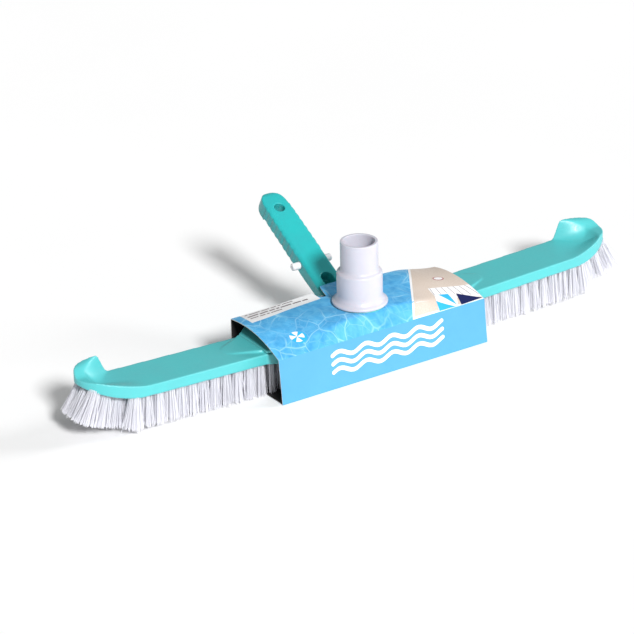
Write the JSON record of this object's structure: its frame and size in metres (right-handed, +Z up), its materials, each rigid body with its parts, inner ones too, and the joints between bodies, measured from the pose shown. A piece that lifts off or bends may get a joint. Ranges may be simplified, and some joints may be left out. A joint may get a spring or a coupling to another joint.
{
  "type": "pool wall brush",
  "caption": "Long curved pool brush with bristle tufts, suction windows under a cover, a stepped swivel hose connector, a pivoting pole handle and a card sleeve.",
  "frame": {"origin": "on the surface the brush stands on, on the hose connector's axis", "axes": "+X along the brush, +Y to the handle's side, +Z up along the hose connector"},
  "size_m": [0.5392, 0.1814, 0.1062],
  "materials": {
    "teal_plastic": "satin moulded polypropylene",
    "white_plastic": "satin moulded plastic",
    "button_plastic": "satin moulded plastic",
    "bristles": "nylon filament",
    "staples": "drawn strip",
    "steel": "stainless, lightly brushed",
    "seal_rubber": "smooth",
    "printed_card": "coated printed card"
  },
  "bodies": {
    "brush": {"brush_body": "teal_plastic", "centre_cover": "teal_plastic", "cover_screws": "steel", "tufts_arm_left": "bristles", "tufts_arm_right": "bristles", "tufts_end_left": "bristles", "tufts_end_right": "bristles", "tufts_centre": "bristles", "anchors_arm_left": "staples", "anchors_arm_right": "staples", "anchors_end_left": "staples", "anchors_end_right": "staples", "anchors_centre": "staples", "pivot_bolt": "steel", "pivot_washers": "steel", "pivot_nut": "steel", "card_sleeve": "printed_card"},
    "connector": {"hose_connector": "white_plastic", "swivel_seal": "seal_rubber", "retaining_ring": "steel"},
    "handle": {"handle": "teal_plastic", "clip_spring": "steel"},
    "button_left": {"button_left": "button_plastic"},
    "button_right": {"button_right": "button_plastic"}
  },
  "joints": [
    {"name": "connector_swivel", "type": "hinge", "parent": "brush", "child": "connector", "pos_m": [0, 0, 0.0513], "axis": [0, 0, 1], "continuous": true},
    {"name": "handle_pivot", "type": "hinge", "parent": "brush", "child": "handle", "pos_m": [0, 0.034, 0.0425], "axis": [1, 0, 0], "range_deg": [-38, 60]},
    {"name": "button_left_press", "type": "slide", "parent": "handle", "child": "button_left", "axis": [1, 0, 0], "range_m": [0, 0.0055], "stiffness_N_per_m": 1200, "springref_m": -0.001, "deforming": ["clip_spring"]},
    {"name": "button_right_press", "type": "slide", "parent": "handle", "child": "button_right", "axis": [-1, 0, 0], "range_m": [0, 0.0055], "stiffness_N_per_m": 1200, "springref_m": -0.001, "deforming": ["clip_spring"]}
  ]
}
